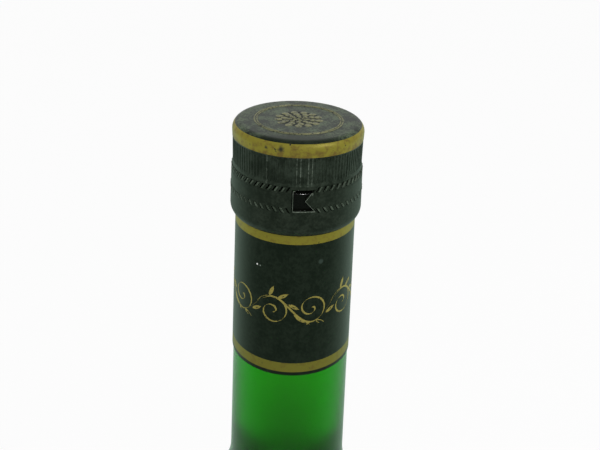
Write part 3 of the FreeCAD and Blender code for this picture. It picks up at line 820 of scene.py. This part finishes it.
skirtLacquer = mouldedPlastic("blackLacqueredFoil", "#111A12", "#1F291F", 0.7, 0.32, 0.8 * mm, specks=[
    (onWall(azimuth, skirtRadius(height), height), size, colour)
    for azimuth, height, size, colour in skirtSettings["specks"]])
skirtLine = [(skirtRadius(skirtLow.z) - skirtWall, skirtLow.z),
             (skirtRadius(skirtLow.z) - skirtSettings["edge"], skirtLow.z),
             (skirtRadius(skirtLow.z), skirtLow.z + skirtSettings["edge"])]
skirtLine += [(skirtRadius(height), height) for band in skirtSettings["bands"] for height in band]
skirtLine += [(skirtRadius(skirtHigh.z), skirtHigh.z), (skirtRadius(skirtHigh.z) - skirtWall, skirtHigh.z)]
skirt = turnedPiece("printedSkirt", skirtLine, skirtSettings["steps"],
                    [skirtLacquer, shadedBandGilding, bandGilding], closed=True)
for index, (foot, top) in enumerate(skirtSettings["bands"], 1):
    paintFaces(skirt, index, lambda radius, height: foot < height < top
               and radius > skirtRadius(height) - skirtWall / 2)
smooth(skirt, 40)
settle(skirt, "skirt_lacquer", "neck_sleeve")
print("collar and skirt made")

vineSettings = {
    "height": 256.5 * mm,
    "units": 5,
    "amplitude": 3.4 * mm,
    "nib": Vector((0.36, 0, 0.34)) * mm,  # the pen's edge: strokes swell and thin as they turn
    "strokeStep": 0.45 * mm,
    "leaf": (2.6 * mm, 0.95 * mm),
    "leafRise": 1.5 * mm,
    # how far along from its crest each leaf stands, in lengths of the pattern, and its tilt
    "leaves": ((-0.02, 1.2), (0.13, 0.5), (0.27, -0.5)),
    "curlTurns": 1.55,
    "curlSteps": 28,
    "curlStart": 0.2,  # how far before its crest a tendril leaves the stem
    "curlDrop": 0.6 * mm,
    "curlEye": 0.35 * mm,
    "lift": 0.02 * mm,
}
vineRadius = skirtRadius(vineSettings["height"])
unitLength = fullTurn * vineRadius / vineSettings["units"]


def penStroke(name, points):
    # drags the nib's edge along the points, on a flat sheet
    stroke = startPiece(name, bpy.ops.mesh.primitive_plane_add, size=mm)
    bpy.ops.mesh.merge(type="CENTER")
    bpy.ops.transform.translate(value=points[0] - vineSettings["nib"] / 2)
    bpy.ops.mesh.extrude_region_move(TRANSFORM_OT_translate={"value": vineSettings["nib"]})
    bpy.ops.mesh.select_all(action="SELECT")
    for before, after in zip(points, points[1:]):
        bpy.ops.mesh.extrude_region_move(TRANSFORM_OT_translate={"value": after - before})
    return endPiece(stroke, [vineGilding])


def stemHeight(along):
    return vineSettings["height"] + vineSettings["amplitude"] * math.sin(fullTurn * along / unitLength)


def vineLeaf(along, up, tilt):
    # a disc drawn out to a leaf with a pointed tip
    length, width = vineSettings["leaf"]
    leaf = startPiece("leaf", bpy.ops.mesh.primitive_circle_add, vertices=24, radius=width / 2,
                      fill_type="NGON", rotation=(math.pi / 2, 0, 0))
    bpy.ops.transform.resize(value=(length / width, 1, 1))
    endPiece(leaf, [vineGilding])
    bpy.ops.object.mode_set(mode="EDIT")
    bpy.ops.mesh.inset(thickness=width * 0.12)
    bpy.ops.mesh.select_all(action="DESELECT")
    bpy.ops.object.mode_set(mode="OBJECT")
    max(leaf.data.vertices, key=lambda vertex: vertex.co.x).select = True
    bpy.ops.object.mode_set(mode="EDIT")
    bpy.ops.transform.translate(value=(width * 0.45, 0, 0))
    endPiece(leaf)
    leaf.data.transform(Matrix.Translation((along, 0, up)) @ Matrix.Rotation(-tilt, 4, "Y"))
    return leaf


def stemPoint(along):
    return Vector((along, 0, stemHeight(along)))


stemCount = round(unitLength / vineSettings["strokeStep"])
unitPieces = [penStroke("stem", [stemPoint(unitLength * i / stemCount) for i in range(stemCount + 1)])]
for side in (1, -1):
    # a tendril curls back into the hollow beside each crest, with leaves round its root
    crest = unitLength * (0.25 if side > 0 else 0.75)
    root = stemPoint(crest - unitLength * vineSettings["curlStart"])
    curlCentre = Vector((crest, 0, vineSettings["height"] - side * vineSettings["curlDrop"]))
    startAngle = math.atan2(root.z - curlCentre.z, root.x - curlCentre.x)
    startReach = (root - curlCentre).length
    tendril = []
    for i in range(vineSettings["curlSteps"] + 1):
        share = i / vineSettings["curlSteps"]
        angle = startAngle - side * share * vineSettings["curlTurns"] * fullTurn
        reach = startReach * (1 - share) ** 0.8 + vineSettings["curlEye"]
        if i == 0:
            reach *= 0.98  # it starts within the stem's stroke
        tendril.append(curlCentre + Vector((math.cos(angle), 0, math.sin(angle))) * reach)
    unitPieces.append(penStroke("tendril", tendril))
    for shift, tilt in vineSettings["leaves"]:
        along = crest + unitLength * shift
        unitPieces.append(vineLeaf(along, stemHeight(along) + side * vineSettings["leafRise"], side * tilt))
unit = joined("vineUnit", *unitPieces)
vine = movedCopies("vinePrint", unit, [
    Matrix.Translation(((i - vineSettings["units"] / 2) * unitLength, 0, 0))
    for i in range(vineSettings["units"])])

# the flat drawing is rolled round the neck and laid on the skirt
vineLength = max(v.co.x for v in vine.data.vertices) - min(v.co.x for v in vine.data.vertices)
applyModifier(vine, "SIMPLE_DEFORM", deform_method="BEND", deform_axis="Z", angle=vineLength / vineRadius)
vine.data.transform(Matrix.Translation((0, -vineRadius, 0)))
applyModifier(vine, "SHRINKWRAP", target=skirt, wrap_method="NEAREST_SURFACEPOINT",
              wrap_mode="ABOVE_SURFACE", offset=vineSettings["lift"])
smooth(vine, 60)
settle(vine, "skirt_lacquer")
print("vine printed")

stageSettings = {
    "paint": "#FFFFFF",
    "floorRadius": 4.0,
    "glowShare": 0.85,  # the rest of the floor's white is lit, and keeps the shadow
    "skyForLight": 0.8,
    "floorFade": (-0.25, 0.3),  # from where to where, front to back, the gloss brightens
    "wallFade": (0.2, 0.96),
    "glossBack": 0.6,  # how bright the floor shows in the gloss, behind and in front
    "glossFront": 0.11,
    "wallInGloss": 0.68,
    "wallThroughGlass": 0.8,
    "floorTint": "#E0FFEC",  # what the floor adds to the gloss of upright walls
    "floorThroughGlass": 0.72,
    "shadeThroughGlass": 0.1,  # what glass shows of the floor in the painted shadow behind the bottle
    "shade": (0.14, 0.155, 0.26),  # how far behind the bottle the painted shadow lies, and its half width and half length
    "underBottle": 1.0,
    "underRim": 0.85,  # the share of the bottle's radius within which that is full
    "lampTarget": Vector((0, 0, 0.28)),
}


def seenLevel(tree, vector, fade, most, through):
    # white to the camera; in the gloss it is dark towards the front, as a room with a pale
    # backdrop is
    rays = addNode(tree, "ShaderNodeLightPath")
    across = addNode(tree, "ShaderNodeSeparateXYZ", {}, {0: vector})
    mirrored = addNode(tree, "ShaderNodeMapRange", {"interpolation_type": "SMOOTHSTEP"}, {
        "Value": across.outputs["Y"], "From Min": fade[0], "From Max": fade[1],
        "To Min": stageSettings["glossFront"], "To Max": most})
    # a ray that rough glass lets through counts as glossy too, so that share is taken off
    bounced = addNode(tree, "ShaderNodeMath", {"operation": "SUBTRACT", "use_clamp": True}, {
        0: rays.outputs["Is Glossy Ray"], 1: rays.outputs["Is Transmission Ray"]})
    glossy = addNode(tree, "ShaderNodeMath", {"operation": "MULTIPLY"}, {
        0: bounced.outputs[0], 1: mirrored.outputs[0]})
    passed = addNode(tree, "ShaderNodeMath", {"operation": "MULTIPLY"}, {
        0: rays.outputs["Is Transmission Ray"], 1: through})
    straight = addNode(tree, "ShaderNodeMath", {"operation": "MAXIMUM"}, {
        0: rays.outputs["Is Camera Ray"], 1: passed.outputs[0]})
    return rays, bounced.outputs[0], addNode(tree, "ShaderNodeMath", {"operation": "MAXIMUM"}, {
        0: straight.outputs[0], 1: glossy.outputs[0]}).outputs[0]


floor = startPiece("paleFloor", bpy.ops.mesh.primitive_circle_add, vertices=96,
                   radius=stageSettings["floorRadius"], fill_type="NGON")
bpy.ops.object.mode_set(mode="OBJECT")
floorPaint, tree, output, place = newMaterial("palePaintedTable")
shadeBack, shadeAcross, shadeAlong = stageSettings["shade"]
behind = addNode(tree, "ShaderNodeMapping", {}, {
    "Vector": place, "Location": (0, -shadeBack / shadeAlong, 0),
    "Scale": (1 / shadeAcross, 1 / shadeAlong, 1)})
away = addNode(tree, "ShaderNodeVectorMath", {"operation": "LENGTH"}, {0: behind.outputs[0]})
shade = addNode(tree, "ShaderNodeMapRange", {"interpolation_type": "SMOOTHSTEP"}, {
    "Value": away.outputs["Value"], "To Min": stageSettings["shadeThroughGlass"],
    "To Max": stageSettings["floorThroughGlass"]})
# a painted pool of light under the bottle, which reaches the eye again through its shoulder
fromAxis = addNode(tree, "ShaderNodeVectorMath", {"operation": "LENGTH"}, {0: place})
under = addNode(tree, "ShaderNodeMapRange", {}, {
    "Value": fromAxis.outputs["Value"], "From Min": glassRadius * stageSettings["underRim"],
    "From Max": glassRadius,
    "To Min": stageSettings["underBottle"], "To Max": 0.0})
through = addNode(tree, "ShaderNodeMath", {"operation": "MAXIMUM"}, {
    0: shade.outputs[0], 1: under.outputs[0]})
rays, glossOnly, seen = seenLevel(tree, place, stageSettings["floorFade"], stageSettings["glossBack"],
                                  through.outputs[0])
ownGlow = addNode(tree, "ShaderNodeMath", {"operation": "MULTIPLY"}, {
    0: rays.outputs["Is Camera Ray"], 1: stageSettings["glowShare"]})
indirect = addNode(tree, "ShaderNodeMath", {"operation": "MAXIMUM"}, {
    0: rays.outputs["Is Glossy Ray"], 1: rays.outputs["Is Transmission Ray"]})
share = addNode(tree, "ShaderNodeMath", {"operation": "MAXIMUM"}, {
    0: ownGlow.outputs[0], 1: indirect.outputs[0]})
paint = addNode(tree, "ShaderNodeBsdfDiffuse", {}, {"Color": linear(stageSettings["paint"])})
tint = addNode(tree, "ShaderNodeMix", {"data_type": "RGBA"}, {
    0: glossOnly, 6: linear("#FFFFFF"), 7: linear(stageSettings["floorTint"])})
glow = addNode(tree, "ShaderNodeEmission", {}, {"Color": tint.outputs[2], "Strength": seen})
blend = addNode(tree, "ShaderNodeMixShader", {}, {
    0: share.outputs[0], 1: paint.outputs[0], 2: glow.outputs[0]})
tree.links.new(blend.outputs[0], output.inputs["Surface"])
floor.data.materials.append(floorPaint)

world = bpy.data.worlds.new("paleStudio")
bpy.context.scene.world = world
world.use_nodes = True
tree = world.node_tree
tree.nodes.clear()
output = addNode(tree, "ShaderNodeOutputWorld")
direction = addNode(tree, "ShaderNodeTexCoord").outputs["Generated"]
rays, _, seen = seenLevel(tree, direction, stageSettings["wallFade"], stageSettings["wallInGloss"],
                          stageSettings["wallThroughGlass"])
indirect = addNode(tree, "ShaderNodeMath", {"operation": "MAXIMUM"}, {
    0: rays.outputs["Is Glossy Ray"], 1: rays.outputs["Is Transmission Ray"]})
shown = addNode(tree, "ShaderNodeMath", {"operation": "MAXIMUM"}, {
    0: rays.outputs["Is Camera Ray"], 1: indirect.outputs[0]})
lightOnly = addNode(tree, "ShaderNodeMath", {"operation": "SUBTRACT"}, {
    0: stageSettings["skyForLight"], 1: shown.outputs[0]})
level = addNode(tree, "ShaderNodeMath", {"operation": "MAXIMUM"}, {0: lightOnly.outputs[0], 1: seen})
sky = addNode(tree, "ShaderNodeBackground", {}, {
    "Color": linear(stageSettings["paint"]), "Strength": level.outputs[0]})
tree.links.new(sky.outputs[0], output.inputs["Surface"])


def addLamp(name, kind, energy, place, size, onlyOn=None):
    data = bpy.data.lights.new(name, kind)
    data.energy = energy
    if kind == "AREA":
        data.shape = "DISK"
        data.size = size
    else:
        data.shadow_soft_size = size
    lamp = bpy.data.objects.new(name, data)
    lamp.location = place
    lamp.rotation_mode = "QUATERNION"
    lamp.rotation_quaternion = (stageSettings["lampTarget"] - Vector(place)).to_track_quat("-Z", "Y")
    bpy.context.collection.objects.link(lamp)
    if onlyOn:
        lamp.light_linking.receiver_collection = bpy.data.collections.new(name)
        lamp.light_linking.receiver_collection.objects.link(onlyOn)


addLamp("softboxRight", "AREA", 0.9, (0.45, -0.35, 0.75), 0.3)
addLamp("smallLamp", "POINT", 0.12, (0.1, -0.45, 0.62), 0.008)
addLamp("glintLamp", "POINT", 4.0, (0.1, -0.45, 0.5), 0.016, collar)
print("floor and light set")
